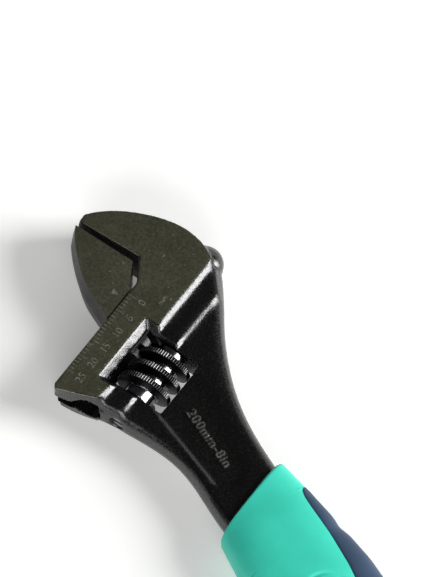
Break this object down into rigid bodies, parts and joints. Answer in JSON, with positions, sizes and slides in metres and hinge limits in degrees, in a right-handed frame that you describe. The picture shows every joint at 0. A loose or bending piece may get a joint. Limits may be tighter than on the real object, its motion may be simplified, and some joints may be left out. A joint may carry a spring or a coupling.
{
  "type": "adjustable wrench",
  "caption": "Adjustable wrench with a sliding jaw driven by a knurled worm, a forged head set at an angle, a ground face with a millimetre scale, and a moulded two-colour grip with a hang hole.",
  "frame": {"origin": "centre of the bounding box at its lowest face, where the grip rests on a surface, with the jaw opening at its modelled 1.35 mm", "axes": "+Y along the handle towards the jaws, +Z out of the upper ground face, +X towards the fixed jaw's back"},
  "size_m": [0.0545, 0.2054, 0.0165],
  "materials": {
    "forged_steel": "black oxide over a drop forging, slightly glossy",
    "ground_steel": "ground and blackened, satin",
    "knurled_steel": "turned, knurled and blackened",
    "spring_steel": "bright drawn wire and turned rod",
    "grip_rubber": "matte moulded thermoplastic rubber, teal",
    "inlay_plastic": "matte moulded polypropylene, dark slate"
  },
  "bodies": {
    "frame": {"wrench_body": "forged_steel", "axle_screw": "spring_steel", "grip_shell": "grip_rubber", "grip_inlay_right": "inlay_plastic", "grip_inlay_left": "inlay_plastic"},
    "jaw": {"movable_jaw": "ground_steel"},
    "worm": {"worm": "knurled_steel", "worm_spring": "spring_steel"}
  },
  "joints": [
    {"name": "jaw_slide", "type": "slide", "parent": "frame", "child": "jaw", "axis": [-0.9239, -0.3827, 0], "range_m": [-0.00125, 0.02365]},
    {"name": "worm_spin", "type": "hinge", "parent": "frame", "child": "worm", "pos_m": [-0.00415, 0.05782, 0.00827], "axis": [-0.9239, -0.3827, 0], "range_deg": [-2140, 130]}
  ],
  "couplings": [
    {"joint": "worm_spin", "follows": "jaw_slide", "rad_per_m": -1570.8}
  ]
}
